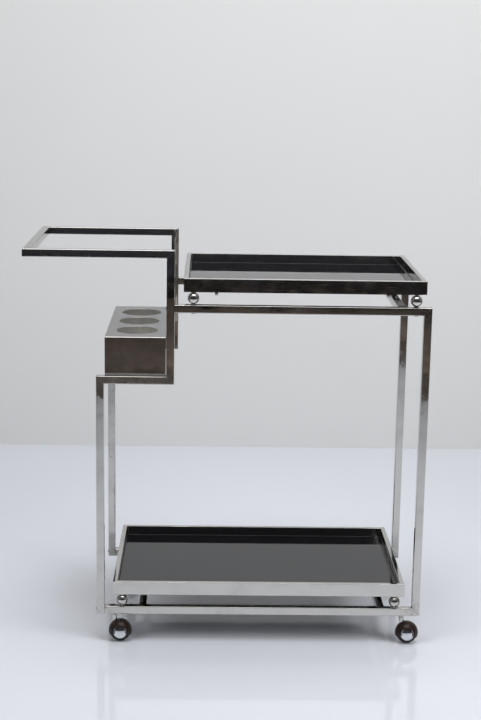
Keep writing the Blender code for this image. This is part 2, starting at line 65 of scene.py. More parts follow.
def new_group(name, inputs, outputs):
    """An empty shader node group with named number inputs and outputs."""
    group = bpy.data.node_groups.new(name, "ShaderNodeTree")
    for label, value in inputs:
        socket = group.interface.new_socket(label, in_out="INPUT", socket_type="NodeSocketFloat")
        socket.default_value = value
    for label in outputs:
        group.interface.new_socket(label, in_out="OUTPUT", socket_type="NodeSocketFloat")
    return group, group.nodes.new("NodeGroupInput"), group.nodes.new("NodeGroupOutput")


def node(tree, kind, sockets=None, **settings):
    """Adds a shader node, with its settings and the values of its unlinked sockets."""
    made = tree.nodes.new(kind)
    for key, value in settings.items():
        setattr(made, key, value)
    for label, value in (sockets or {}).items():
        made.inputs[label].default_value = value
    return made


def spread(tree, source, low, high, to_low, to_high):
    """A Map Range node that turns the range of a source socket into another range."""
    sockets = {"From Min": low, "From Max": high, "To Min": to_low, "To Max": to_high}
    made = node(tree, "ShaderNodeMapRange", sockets)
    tree.links.new(source, made.inputs["Value"])
    return made.outputs["Result"]


def arithmetic(tree, operation, first, second):
    """A Math node on two sockets, or on a socket and a number."""
    made = node(tree, "ShaderNodeMath", operation=operation)
    for place, value in enumerate((first, second)):
        if isinstance(value, (int, float)):
            made.inputs[place].default_value = value
        else:
            tree.links.new(value, made.inputs[place])
    return made.outputs[0]


def add_share(tree, base, mask, share):
    """A base value plus a share of a mask."""
    return arithmetic(tree, "ADD", base, arithmetic(tree, "MULTIPLY", mask, share))


def build_handling_marks():
    """Cloudy wipe marks, specks, clustered hairline scratches and faint waviness, in object space."""
    group, inside, out = new_group(
        "handling marks",
        [("Scale", 1.0), ("Speck Size", 1.0)],
        ["Wipe", "Specks", "Scratches", "Waviness"])
    place = node(group, "ShaderNodeTexCoord")
    cloud = node(group, "ShaderNodeTexNoise", {"Detail": 5.0, "Roughness": 0.62, "Distortion": 0.8})
    specks = node(group, "ShaderNodeTexNoise", {"Detail": 2.0, "Roughness": 0.5})
    waves = node(group, "ShaderNodeTexNoise", {"Detail": 1.5, "Roughness": 0.4})
    hairs = node(group, "ShaderNodeTexNoise", {"Detail": 1.0, "Roughness": 0.5, "Distortion": 1.6})
    clusters = node(group, "ShaderNodeTexNoise", {"Detail": 3.0, "Roughness": 0.6})
    per_metre = ((cloud, 16.0), (specks, 420.0), (waves, 22.0), (hairs, 85.0), (clusters, 9.0))
    for texture, factor in per_metre:
        group.links.new(place.outputs["Object"], texture.inputs["Vector"])
        size = arithmetic(group, "MULTIPLY", inside.outputs["Scale"], factor)
        if texture is specks:
            size = arithmetic(group, "MULTIPLY", size, inside.outputs["Speck Size"])
        group.links.new(size, texture.inputs["Scale"])
    group.links.new(spread(group, cloud.outputs["Fac"], 0.46, 0.72, 0.0, 1.0), out.inputs["Wipe"])
    group.links.new(spread(group, specks.outputs["Fac"], 0.66, 0.74, 0.0, 1.0), out.inputs["Specks"])
    group.links.new(waves.outputs["Fac"], out.inputs["Waviness"])
    crossing = arithmetic(group, "SUBTRACT", hairs.outputs["Fac"], 0.5)
    crossing = arithmetic(group, "ABSOLUTE", crossing, 0.0)
    hairline = spread(group, crossing, 0.0, 0.014, 1.0, 0.0)
    handled = spread(group, clusters.outputs["Fac"], 0.50, 0.62, 0.0, 1.0)
    group.links.new(arithmetic(group, "MULTIPLY", hairline, handled), out.inputs["Scratches"])
    return group


def build_polishing_lines():
    """Fine parallel lines left by the polishing wheel. They run along the U of the piece's UV map."""
    group, inside, out = new_group("polishing lines", [("Lines per Metre", 2600.0)], ["Lines"])
    place = node(group, "ShaderNodeTexCoord")
    parts = node(group, "ShaderNodeSeparateXYZ")
    group.links.new(place.outputs["UV"], parts.inputs["Vector"])
    stretched = node(group, "ShaderNodeCombineXYZ")
    group.links.new(arithmetic(group, "MULTIPLY", parts.outputs["X"], 14.0), stretched.inputs["X"])
    across = arithmetic(group, "MULTIPLY", parts.outputs["Y"], inside.outputs["Lines per Metre"])
    group.links.new(across, stretched.inputs["Y"])
    grain = node(group, "ShaderNodeTexNoise", {"Scale": 1.0, "Detail": 3.0, "Roughness": 0.6})
    group.links.new(stretched.outputs["Vector"], grain.inputs["Vector"])
    group.links.new(grain.outputs["Fac"], out.inputs["Lines"])
    return group


HANDLING_MARKS = build_handling_marks()
POLISHING_LINES = build_polishing_lines()


def two_colours(tree, mask, first, second):
    """A Mix node between two colours by a mask socket."""
    made = node(tree, "ShaderNodeMix", data_type="RGBA")
    made.inputs["A"].default_value = (*first, 1.0)
    made.inputs["B"].default_value = (*second, 1.0)
    tree.links.new(mask, made.inputs["Factor"])
    return made.outputs["Result"]


def raise_surface(tree, shader, height, strength, distance):
    """Feeds a height into the shader's normal through a Bump node."""
    bump = node(tree, "ShaderNodeBump", {"Strength": strength, "Distance": distance})
    tree.links.new(height, bump.inputs["Height"])
    tree.links.new(bump.outputs["Normal"], shader.inputs["Normal"])


def new_material(name):
    """A material with its node tree and its Principled shader."""
    made = bpy.data.materials.new(name)
    made.use_nodes = True
    return made, made.node_tree, made.node_tree.nodes["Principled BSDF"]


def object_noise(tree, scale, detail, distortion=0.0):
    """A Noise Texture in object space."""
    noise = node(
        tree, "ShaderNodeTexNoise", {"Scale": scale, "Detail": detail, "Distortion": distortion})
    place = node(tree, "ShaderNodeTexCoord")
    tree.links.new(place.outputs["Object"], noise.inputs["Vector"])
    return noise.outputs["Fac"]


def marked_shine(tree, marks, clean, dull, specks, scratches):
    """Roughness that rises where the surface is wiped dull, speckled or scratched."""
    rough = spread(tree, marks.outputs["Wipe"], 0.0, 1.0, clean, dull)
    rough = add_share(tree, rough, marks.outputs["Specks"], specks)
    return add_share(tree, rough, marks.outputs["Scratches"], scratches)


def polished_height(tree, marks, lines, drawn_share):
    """The height of fine polishing lines, faint waves, and the wider stripes of the drawn metal."""
    height = arithmetic(tree, "MULTIPLY", lines.outputs["Lines"], POLISHING_RELIEF)
    height = arithmetic(tree, "ADD", height, marks.outputs["Waviness"])
    if drawn_share:
        drawn = node(tree, "ShaderNodeGroup", node_tree=POLISHING_LINES)
        drawn.inputs["Lines per Metre"].default_value = DRAWN_LINES
        height = add_share(tree, height, drawn.outputs["Lines"], drawn_share)
    return height


def build_chrome(name, clean, dull, scale, bump_strength, drawn_share=0.0):
    """Bright chrome plating: wipe marks, scratches, drawing lines, and dark bloom beside the welds."""
    made, tree, shader = new_material(name)
    shader.inputs["Metallic"].default_value = 1.0
    shader.inputs["Specular Tint"].default_value = GRAZING_TINT
    marks = node(tree, "ShaderNodeGroup", node_tree=HANDLING_MARKS)
    marks.inputs["Scale"].default_value = scale
    lines = node(tree, "ShaderNodeGroup", node_tree=POLISHING_LINES)
    heat = node(tree, "ShaderNodeAttribute", attribute_name="weld_heat")
    cloudy = object_noise(tree, 150.0, 4.0, 0.6)
    patches = spread(tree, cloudy, 0.45, 0.62, 0.0, 1.0)
    burnt = arithmetic(tree, "MULTIPLY", heat.outputs["Fac"], patches)
    plating = two_colours(tree, marks.outputs["Wipe"], clean, dull)
    bloom = node(tree, "ShaderNodeMix", {"B": WELD_BLOOM}, data_type="RGBA")
    tree.links.new(arithmetic(tree, "MULTIPLY", burnt, 0.65), bloom.inputs["Factor"])
    tree.links.new(plating, bloom.inputs["A"])
    tree.links.new(bloom.outputs["Result"], shader.inputs["Base Color"])
    rough = marked_shine(tree, marks, 0.03, 0.13, 0.16, 0.40)
    tree.links.new(add_share(tree, rough, burnt, 0.10), shader.inputs["Roughness"])
    height = polished_height(tree, marks, lines, drawn_share)
    height = add_share(tree, height, marks.outputs["Scratches"], -SCRATCH_DEPTH)
    raise_surface(tree, shader, height, bump_strength, 0.0012)
    return made


TUBE_CHROME = build_chrome(
    "plated tube", (0.665, 0.65, 0.615), (0.585, 0.57, 0.54), 1.0, 0.34, 0.15)


def skin(built, rings, along, around):
    """Faces between successive rings of points, with a UV in metres along and around the run."""
    uv = built.loops.layers.uv.verify()
    rows = [[built.verts.new(point) for point in ring] for ring in rings]
    for r in range(len(rows) - 1):
        for i in range(len(rows[r])):
            j = (i + 1) % len(rows[r])
            face = built.faces.new((rows[r][i], rows[r][j], rows[r + 1][j], rows[r + 1][i]))
            corners = (
                (along[r], around[i]), (along[r], around[i + 1]),
                (along[r + 1], around[i + 1]), (along[r + 1], around[i]))
            for loop, corner in zip(face.loops, corners):
                loop[uv].uv = corner
    return rows


def running_length(points):
    """Distances along a closed row of points, with the full length last."""
    lengths = [0.0]
    for here, there in zip(points, points[1:] + points[:1]):
        lengths.append(lengths[-1] + (Vector(there) - Vector(here)).length)
    return lengths


def add_piece(name, built, material, body, nodes):
    """Makes a piece from a bmesh: smooth with crisp flats, riding on a body in place of CAD nodes."""
    bmesh.ops.recalc_face_normals(built, faces=built.faces)
    mesh = bpy.data.meshes.new(name)
    built.to_mesh(mesh)
    built.free()
    mesh.shade_smooth()
    mesh.set_sharp_from_angle(angle=math.radians(SHARP_ANGLE))
    mesh.materials.append(material)
    piece = bpy.data.objects.new(name, mesh)
    bpy.context.scene.collection.objects.link(piece)
    weighted = piece.modifiers.new("flat faces stay flat", "WEIGHTED_NORMAL")
    weighted.keep_sharp = True
    weighted.weight = FLAT_WEIGHT
    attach(piece, body)
    if nodes:
        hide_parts(*nodes)
    return piece


def rounded_square(half, corner):
    """Points round a square section with rounded corners."""
    points = []
    for quarter in range(4):
        turn = Matrix.Rotation(quarter * math.pi / 2, 2)
        for i in range(CORNER_STEPS + 1):
            angle = i * math.pi / 2 / CORNER_STEPS
            offset = Vector((math.cos(angle), math.sin(angle))) * corner
            points.append(turn @ (Vector((half - corner, half - corner)) + offset))
    return points


def square_tube(name, axis, low_slopes, high_slopes):
    """A tube in the place of its CAD node. Each end has a slope along each side of the section."""
    low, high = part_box(name)
    along = "XYZ".index(axis)
    first, second = [i for i in range(3) if i != along]
    middle = (Vector(low) + Vector(high)) / 2
    half = (high[first] - low[first]) / 2
    built = bmesh.new()
    heat = built.verts.layers.float.new("weld_heat")
    ends = ((low[along], low_slopes, 1), (high[along], high_slopes, -1))
    rings, runs, warmth = [], [], []
    for edge, slopes, inward in ends:
        place = edge + inward * half * max(abs(s) for s in slopes) - inward * JOINT_CLOSURE
        slant = math.hypot(1.0, *slopes)
        for depth, hot in WELD_HEAT:
            inset = SEAM_DEPTH if depth == 0.0 else 0.0
            ring = []
            for point in rounded_square(half - inset, TUBE_CORNER):
                co = middle.copy()
                co[first] += point.x
                co[second] += point.y
                co[along] = place + slopes[0] * point.x + slopes[1] * point.y + inward * depth * slant
                ring.append(co)
            rings.append(ring)
            runs.append(place + inward * depth)
            warmth.append(hot)
    count = len(WELD_HEAT)
    order = list(range(count)) + list(range(2 * count - 1, count - 1, -1))
    around = running_length([p.to_3d() for p in rounded_square(half, TUBE_CORNER)])
    rows = skin(built, [rings[k] for k in order], [runs[k] for k in order], around)
    for row, k in zip(rows, order):
        for vertex in row:
            vertex[heat] = warmth[k]
    built.faces.new(rows[0])
    built.faces.new(rows[-1])
    add_piece(name + "_tube", built, TUBE_CHROME, CART, [name])


FLAT = (0, 0)
for side, sign in zip(SIDES, (-1, 1)):
    square_tube("handle_bar_" + side, "X", (-sign, 0), (0, 1))
    square_tube("post_" + side, "Z", (-1, 0), (1, 0))
    square_tube("shelf_bar_" + side, "X", (0, -1), (0, -1))
    square_tube("left_leg_" + side, "Z", FLAT, (-1, 0))
    square_tube("top_rail_" + side, "X", FLAT, (0, 1))
    square_tube("right_leg_" + side, "Z", (-1, 0), (1, 0))
    square_tube("lower_rail_" + side, "X", FLAT, (0, -1))
square_tube("handle_cross_bar", "Y", (1, 0), (-1, 0))
for name in ("upper_cross_bar", "lower_cross_bar_left", "lower_cross_bar_right"):
    square_tube(name, "Y", FLAT, FLAT)


# ---- Frame bolts ----
# Button head bolts with a hexagon socket, chromed steel. They pass through a post or a leg
# from its left face and pull the rail's end plate tight against it.
SOCKET_HALF = 0.0015
SOCKET_DEPTH = 0.0012
TURN_STEPS = 48
TIP = 0.0001
SMALL_CHROME = build_chrome(
    "plated turned steel", (0.67, 0.655, 0.62), (0.57, 0.555, 0.525), 3.0, 0.10)


def turned_rings(profile, steps=TURN_STEPS):
    """Rings of points for an outline of (radius, height) turned about Z."""
    rings = []
    for radius, height in profile:
        ring = []
        for i in range(steps):
            angle = 2 * math.pi * i / steps
            ring.append(Vector((radius * math.cos(angle), radius * math.sin(angle), height)))
        rings.append(ring)
    return rings


def hexagon_ring(half, height):
    """A ring of points on a hexagon with a given half width across its flats."""
    ring = []
    for i in range(TURN_STEPS):
        angle = 2 * math.pi * i / TURN_STEPS
        fold = (angle + math.pi / 6) % (math.pi / 3) - math.pi / 6
        reach = half / math.cos(fold)
        ring.append(Vector((reach * math.cos(angle), reach * math.sin(angle), height)))
    return ring


def turned(rings, turn=None, place=(0, 0, 0), closed_ends=True):
    """A turned body from rings of points, turned by a rotation and moved to its place."""
    built = bmesh.new()
    along = [0.0]
    for here, there in zip(rings, rings[1:]):
        along.append(along[-1] + (there[0] - here[0]).length)
    widest = max(ring[0].xy.length for ring in rings)
    around = [2 * math.pi * widest * i / len(rings[0]) for i in range(len(rings[0]) + 1)]
    rows = skin(built, rings, along, around)
    if closed_ends:
        built.faces.new(rows[0])
        built.faces.new(rows[-1])
    else:
        skin_between(built, rows[-1], rows[0])
    if turn is not None:
        bmesh.ops.transform(built, verts=built.verts, matrix=turn.to_4x4())
    bmesh.ops.translate(built, verts=built.verts, vec=Vector(place))
    return built


def skin_between(built, last, first):
    """Closes a turned outline that ends where it begins, as round a bore."""
    for i in range(len(last)):
        j = (i + 1) % len(last)
        built.faces.new((last[i], last[j], first[j], first[i]))


def arc(radius, start, end, steps, middle=(0.0, 0.0)):
    """(radial, axial) points of an arc between two angles, in degrees from the radial direction."""
    points = []
    for i in range(steps + 1):
        angle = math.radians(start + (end - start) * i / steps)
        points.append((middle[0] + radius * math.cos(angle), middle[1] + radius * math.sin(angle)))
    return points


def button_head(head, height):
    """Rings of a button head, from its seat round the dome to the floor of its socket."""
    edge = height * 0.18
    dome = []
    for angle in (0.0, 0.35, 0.7, 1.0):
        dome.append((head * math.cos(angle), edge + (height - edge) * math.sin(angle)))
    outline = [(head * 0.5, 0.0), (head * 0.96, 0.0), (head, edge * 0.4)] + dome
    rings = turned_rings(outline)
    rings += [hexagon_ring(SOCKET_HALF * 1.08, height), hexagon_ring(SOCKET_HALF, height - TIP)]
    floor = height - SOCKET_DEPTH
    rings += [hexagon_ring(SOCKET_HALF, floor), hexagon_ring(TIP, floor)]
    return rings


for place in ("post", "leg"):
    for side in SIDES:
        bolt = place + "_bolt_" + side
        low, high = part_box(bolt)
        tube_name = ("left_leg_" if place == "leg" else "post_") + side
        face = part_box(tube_name)[0][0]
        centre = ((low[1] + high[1]) / 2, (low[2] + high[2]) / 2)
        built = turned(
            button_head((high[1] - low[1]) / 2, face - low[0]),
            Matrix.Rotation(-math.pi / 2, 3, "Y"), (face, *centre))
        add_piece(bolt + "_head", built, SMALL_CHROME, CART, [bolt])


# ---- Tray rims ----
# Each rim is four lengths of flat steel tube, polished to a mirror, with mitred and welded
# corners. A narrow ledge inside its foot carries the glass.
RIM_WIDTH = 0.010
RIM_ROUND = 0.0009
LEDGE_REACH = 0.018
LEDGE_TOP = 0.0024
LEDGE_ROUND = 0.0004
LEDGE_EASE = 0.0003
MITRE_CHAMFER = 0.00015
MITRE_CLOSURE = 0.00003


def build_polished_steel(name, clean, dull, grazing, drawn_share=0.0):
    """Hand polished steel: wheel lines, cloudy wipe marks and a warmer, softer shine than chrome."""
    made, tree, shader = new_material(name)
    shader.inputs["Metallic"].default_value = 1.0
    shader.inputs["Specular Tint"].default_value = grazing
    marks = node(tree, "ShaderNodeGroup", node_tree=HANDLING_MARKS)
    marks.inputs["Scale"].default_value = 0.8
    lines = node(tree, "ShaderNodeGroup", node_tree=POLISHING_LINES)
    lines.inputs["Lines per Metre"].default_value = 1900.0
    colour = two_colours(tree, marks.outputs["Wipe"], clean, dull)
    tree.links.new(colour, shader.inputs["Base Color"])
    rough = marked_shine(tree, marks, 0.045, 0.14, 0.12, 0.12)
    rough = add_share(tree, rough, lines.outputs["Lines"], 0.03)
    tree.links.new(rough, shader.inputs["Roughness"])
    raise_surface(tree, shader, polished_height(tree, marks, lines, drawn_share), 0.34, 0.0016)
    return made


POLISHED_STEEL = build_polished_steel(
    "polished rim steel", (0.66, 0.645, 0.61), (0.56, 0.545, 0.515), GRAZING_TINT, 0.06)


def rim_outline(height):
    """Points round the rim's section as (inset, height): foot, ledge, upright and rounded top."""
    points = [(RIM_ROUND / 2, 0.0), (LEDGE_REACH - LEDGE_ROUND, 0.0), (LEDGE_REACH, LEDGE_ROUND)]
    points += [(LEDGE_REACH, LEDGE_TOP - LEDGE_EASE), (LEDGE_REACH - LEDGE_EASE, LEDGE_TOP)]
    points += [(RIM_WIDTH, LEDGE_TOP)]
    points += arc(RIM_ROUND, 0, 90, 4, (RIM_WIDTH - RIM_ROUND, height - RIM_ROUND))
    points += arc(RIM_ROUND, 90, 180, 4, (RIM_ROUND, height - RIM_ROUND))
    points += [(0.0, RIM_ROUND / 2)]
    return points


def mitred_ring(outline, chamfer, tall):
    """The section at a mitre, as (travel, depth, height), with the ground weld a hair lower."""
    shrink = 0.0 if chamfer else SEAM_DEPTH
    ring = []
    for inset, height in outline:
        depth = max(inset, shrink) if inset < RIM_WIDTH / 2 else inset - shrink
        ring.append((depth + MITRE_CLOSURE + chamfer, depth, min(height, tall - shrink)))
    return ring


for level in ("upper", "lower"):
    low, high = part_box(level + "_tray_rim")
    tall = high[2] - low[2]
    outline = rim_outline(tall)
    around = running_length([(inset, height, 0.0) for inset, height in outline])
    built = bmesh.new()
    corners = [(low[0], low[1]), (high[0], low[1]), (high[0], high[1]), (low[0], high[1])]
    for i, here in enumerate(corners):
        start = Vector((*here, low[2]))
        run = Vector((*corners[(i + 1) % 4], low[2])) - start
        length = run.length
        run.normalize()
        inward = Vector((-run.y, run.x, 0.0))
        rings = []
        stations = ((0.0, True), (MITRE_CHAMFER, True), (MITRE_CHAMFER, False), (0.0, False))
        for chamfer, from_start in stations:
            ring = []
            for travel, depth, height in mitred_ring(outline, chamfer, tall):
                along = travel if from_start else length - travel
                ring.append(start + run * along + inward * depth + Vector((0, 0, height)))
            rings.append(ring)
        rows = skin(built, rings, [0.0, MITRE_CHAMFER, length - MITRE_CHAMFER, length], around)
        built.faces.new(rows[0])
        built.faces.new(rows[-1])
    add_piece(level + "_rim", built, POLISHED_STEEL, CART, [level + "_tray_rim"])


# ---- Glass ----
# Black float glass with ground and polished edges, laid loose on the ledge of each rim.
# Its top carries faint wipe marks and a little dust.
GLASS_EDGE = 0.0008
GLASS_BORDER = 0.00128
GLASS_CORNER = 0.0015
GROUND_DARK = (0.10, 0.105, 0.10)
GROUND_PALE = (0.26, 0.27, 0.26)


def build_black_glass():
    """Black glass: very smooth, with faint wipe marks and specks of dust."""
    made, tree, shader = new_material("black glass")
    shader.inputs["IOR"].default_value = 1.40
    marks = node(tree, "ShaderNodeGroup", node_tree=HANDLING_MARKS)
    marks.inputs["Scale"].default_value = 0.45
    marks.inputs["Speck Size"].default_value = 2.2
    dust = arithmetic(tree, "MULTIPLY", marks.outputs["Specks"], 0.5)
    colour = two_colours(tree, dust, (0.006, 0.006, 0.007), (0.06, 0.06, 0.062))
    tree.links.new(colour, shader.inputs["Base Color"])
    rough = spread(tree, marks.outputs["Wipe"], 0.0, 1.0, 0.012, 0.09)
    rough = add_share(tree, rough, marks.outputs["Specks"], 0.25)
    tree.links.new(rough, shader.inputs["Roughness"])
    raise_surface(tree, shader, marks.outputs["Waviness"], 0.03, 0.001)
    return made


def build_ground_edge():
    """The ground edge of the glass: matt and dark grey, with a fine tooth."""
    made, tree, shader = new_material("ground glass edge")
    grit = object_noise(tree, 1400.0, 2.0)
    tree.links.new(two_colours(tree, grit, GROUND_DARK, GROUND_PALE), shader.inputs["Base Color"])
    tree.links.new(spread(tree, grit, 0.3, 0.7, 0.35, 0.55), shader.inputs["Roughness"])
    raise_surface(tree, shader, grit, 0.3, 0.0001)
    return made


BLACK_GLASS = build_black_glass()
GROUND_EDGE = build_ground_edge()


def slab_outline(half_x, half_y, corner, steps):
    """Points round a rectangle with small rounded corners."""
    points = []
    for quarter, (sx, sy) in enumerate(((1, 1), (-1, 1), (-1, -1), (1, -1))):
        for i in range(steps + 1):
            angle = (quarter + i / steps) * math.pi / 2
            x = sx * (half_x - corner) + corner * math.cos(angle)
            y = sy * (half_y - corner) + corner * math.sin(angle)
            points.append(Vector((x, y, 0.0)))
    return points


for level in ("upper", "lower"):
    low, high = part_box(level + "_glass")
    centre = (Vector(low) + Vector(high)) / 2
    half_x = (high[0] - low[0]) / 2
    half_y = (high[1] - low[1]) / 2
    half_z = (high[2] - low[2]) / 2
    rounded = arc(GLASS_EDGE, -90, 0, 3, (0.0, -half_z + GLASS_EDGE))
    rounded += arc(GLASS_EDGE, 0, 90, 3, (0.0, half_z - GLASS_EDGE))
    profile = [(GLASS_BORDER, -half_z)]
    profile += [(GLASS_EDGE - reach, height) for reach, height in rounded]
    profile += [(GLASS_BORDER, half_z)]
    rings = []
    for inset, height in profile:
        ring = slab_outline(half_x - inset, half_y - inset, GLASS_CORNER, 3)
        rings.append([point + Vector((centre.x, centre.y, centre.z + height)) for point in ring])
    built = bmesh.new()
    around = running_length(slab_outline(half_x, half_y, GLASS_CORNER, 3))
    rows = skin(built, rings, [height for _, height in profile], around)
    built.faces.new(rows[0])
    built.faces.new(rows[-1])
    sheet = add_piece(
        level + "_glass_sheet", built, BLACK_GLASS, CART, [level + "_glass"])
    sheet.data.materials.append(GROUND_EDGE)
    for face in sheet.data.polygons:
        # Only the two large faces have more than four corners.
        if len(face.vertices) == 4:
            face.material_index = 1


# ---- Glass studs ----
# Two short domed studs hang under the front of the upper tray, where clips hold the glass down.
STUD_RADIUS = 0.0038
STUD_DROP = 0.0075
STUD_BACK = 0.006
STUD_EASE = 0.0006
STUD_PLACES = (0.135, 0.842)

rim_low, rim_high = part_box("upper_tray_rim")
for number, share in enumerate(STUD_PLACES):
    x = rim_low[0] + share * (rim_high[0] - rim_low[0])
    dome = arc(STUD_RADIUS, 0, -84, 6, (0.0, -(STUD_DROP - STUD_RADIUS)))
    outline = [(STUD_RADIUS * 0.8, 0.0), (STUD_RADIUS, -STUD_EASE)] + dome
    built = turned(turned_rings(outline, 24), None, (x, rim_low[1] + STUD_BACK, rim_low[2]))
    add_piece("glass_stud_%d" % (number + 1), built, SMALL_CHROME, CART, [])


# ---- Ball spacers ----
# Turned brass balls with a short neck above and below, chrome plated. A screw goes up through
# each one and holds the tray a finger's width above the rails.
SPACER_NECK = 0.0045
NECK_RING = 0.0008
NECK_FOOT = 0.0006
NECK_SLOPE = 0.0004
SCREW_HOLE = 0.0005


def mirror_image(half_outline):
    """The other half of a turned outline, mirrored about the middle."""
    return [(reach, -height) for reach, height in reversed(half_outline)]


for level in ("upper", "lower"):
    for side in SIDES:
        for end in ("left", "right"):
            name = "ball_spacer_%s_%s_%s" % (level, side, end)
            low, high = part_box(name)
            centre = (Vector(low) + Vector(high)) / 2
            radius = (high[0] - low[0]) / 2
            half = (high[2] - low[2]) / 2
            meet = math.degrees(math.acos(SPACER_NECK / radius))
            ball = arc(radius, -meet, meet, 28)
            ring = SPACER_NECK + NECK_RING
            foot = [(SCREW_HOLE, -half), (ring, -half), (ring, -half + NECK_FOOT)]
            foot += [(SPACER_NECK, -half + NECK_FOOT + NECK_SLOPE)]
            built = turned(turned_rings(foot + ball + mirror_image(foot)), None, centre)
            add_piece(name + "_chromed", built, SMALL_CHROME, CART, [name])


# ---- Tray screws ----
# Pan head machine screws with a cross recess. They pass up through a rail and a ball spacer
# and are tapped into the rim's ledge, so only their heads show, under the rails.
CROSS_DEPTH = 0.0013
CROSS_ARM = 0.0021
CROSS_WIDTH = 0.0009


def cross_ring(arm, width, height):
    """A ring of points round a cross recess with four rounded arms."""
    ring = []
    for i in range(TURN_STEPS):
        angle = 2 * math.pi * i / TURN_STEPS
        lobe = max(abs(math.cos(angle)), abs(math.sin(angle))) ** 9
        reach = width + (arm - width) * lobe
        ring.append(Vector((reach * math.cos(angle), reach * math.sin(angle), height)))
    return ring


def build_screw_steel():
    """Dull zinc plated steel with darker grime in its cloudy patches."""
    made, tree, shader = new_material("zinc plated screw")
    shader.inputs["Metallic"].default_value = 1.0
    marks = node(tree, "ShaderNodeGroup", node_tree=HANDLING_MARKS)
    marks.inputs["Scale"].default_value = 9.0
    colour = two_colours(tree, marks.outputs["Wipe"], (0.46, 0.45, 0.43), (0.24, 0.22, 0.20))
    tree.links.new(colour, shader.inputs["Base Color"])
    tree.links.new(spread(tree, marks.outputs["Wipe"], 0.0, 1.0, 0.26, 0.48), shader.inputs["Roughness"])
    raise_surface(tree, shader, marks.outputs["Specks"], 0.2, 0.0002)
    return made


SCREW_STEEL = build_screw_steel()

for level in ("upper", "lower"):
    rail_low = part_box(("top_rail_" if level == "upper" else "lower_rail_") + "front")[0]
    for side in SIDES:
        for end in ("left", "right"):
            name = "tray_screw_%s_%s_%s" % (level, side, end)
            low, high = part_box(name)
            head = (high[0] - low[0]) / 2
            drop = rail_low[2] - low[2]
            outline = [(head * 0.6, 0.0), (head, 0.0), (head, -drop * 0.35)]
            outline += [(head * 0.96, -drop * 0.62), (head * 0.82, -drop * 0.88), (head * 0.62, -drop)]
            rings = turned_rings(outline)
            rings += [
                cross_ring(CROSS_ARM, CROSS_WIDTH, -drop),
                cross_ring(CROSS_ARM - TIP, CROSS_WIDTH - TIP, -drop + TIP),
                cross_ring(0.0012, 0.0005, -drop + CROSS_DEPTH),
                cross_ring(TIP, TIP, -drop + CROSS_DEPTH)]
            place = ((low[0] + high[0]) / 2, (low[1] + high[1]) / 2, rail_low[2])
            head_piece = turned(rings, None, place)
            add_piece(name + "_head", head_piece, SCREW_STEEL, CART, [name])


# ---- Bottle box ----
# A sheet of polished steel folded over front, top and back, with welded end plates and three
# round holes with eased rims. A base plate closes it, and it stands on the two shelf bars.
BEND_RADIUS = 0.0030
BOX_WALL = 0.0015
BOTTLE_HOLE = 0.089
BOTTLE_WEB = 0.021
BOX_JOINT = 0.00025
BOX_EASE = 0.00045
BASE_CORNER = 0.0012
CUT_BEYOND = 0.01
HOLE_CUT = 0.1
HOLE_STEPS = 96


def apply_modifiers(piece):
    """Fixes the result of a piece's modifiers in its mesh."""
    evaluated = piece.evaluated_get(bpy.context.evaluated_depsgraph_get())
    mesh = bpy.data.meshes.new_from_object(evaluated)
    piece.modifiers.clear()
    piece.data = mesh


def carve(built, cutters, operation="DIFFERENCE"):
    """Cuts closed bmeshes out of another one, and gives the result as a bmesh."""
    holder = bpy.data.objects.new("blank", bpy.data.meshes.new("blank"))
    bpy.context.scene.collection.objects.link(holder)
    bmesh.ops.recalc_face_normals(built, faces=built.faces)
    built.to_mesh(holder.data)
    built.free()
    tools = []
    for cutter in cutters:
        bmesh.ops.recalc_face_normals(cutter, faces=cutter.faces)
        tool = bpy.data.objects.new("tool", bpy.data.meshes.new("tool"))
        bpy.context.scene.collection.objects.link(tool)
        cutter.to_mesh(tool.data)
        cutter.free()
        step = holder.modifiers.new("carve", "BOOLEAN")
        step.operation = operation
        step.solver = "EXACT"
        step.object = tool
        tools.append(tool)
    bpy.context.view_layer.update()
    apply_modifiers(holder)
    result = bmesh.new()
    result.from_mesh(holder.data)
    for used in [holder] + tools:
        bpy.data.objects.remove(used)
    return result


def ease_edges(piece, width, segments):
    """Rounds the sharp edges of a carved piece a little."""
    eased = piece.modifiers.new("eased edges", "BEVEL")
    eased.width = width
    eased.segments = segments
    eased.limit_method = "ANGLE"
    eased.angle_limit = math.radians(50)
    piece.modifiers.move(1, 0)


def prism(outline, low, high):
    """A closed body between two levels of Z over an outline of points."""
    built = bmesh.new()
    rings = [[Vector((p.x, p.y, level)) for p in outline] for level in (low, high)]
    rows = skin(built, rings, [low, high], running_length(outline))
    built.faces.new(rows[0])
    built.faces.new(rows[-1])
    return built


def folded_body(half_x, half_y, low, high, bend):
    """A long body whose front and back top edges are bent round a radius."""
    outline = [Vector((half_y, low, 0)), Vector((half_y, high - bend, 0))]
    outline += [Vector((half_y - bend + r, high - bend + h, 0)) for r, h in arc(bend, 0, 90, 6)][1:]
    outline += [Vector((-p.x, p.y, 0)) for p in reversed(outline)]
    built = prism(outline, -half_x, half_x)
    section_to_x = Matrix(((0, 0, 1), (1, 0, 0), (0, 1, 0))).to_4x4()
    bmesh.ops.transform(built, verts=built.verts, matrix=section_to_x)
    return built


def build_mill_steel_with_painted_light():
    """The unpolished inner side of the sheet: dull and grey, with cloudy wipe marks and fine specks."""
    made, tree, shader = new_material("mill finish steel with painted light")
    shader.inputs["Metallic"].default_value = 1.0
    marks = node(tree, "ShaderNodeGroup", node_tree=HANDLING_MARKS)
    marks.inputs["Scale"].default_value = 1.6
    # The pale colour is partly painted light: the steel's own dull grey is raised so that the shaded
    # inside of the box and the box floor read bright.
    colour = two_colours(tree, marks.outputs["Wipe"], (0.86, 0.85, 0.82), (0.72, 0.71, 0.69))
    tree.links.new(colour, shader.inputs["Base Color"])
    tree.links.new(spread(tree, marks.outputs["Wipe"], 0.0, 1.0, 0.42, 0.60), shader.inputs["Roughness"])
    raise_surface(tree, shader, marks.outputs["Specks"], 0.15, 0.0003)
    return made


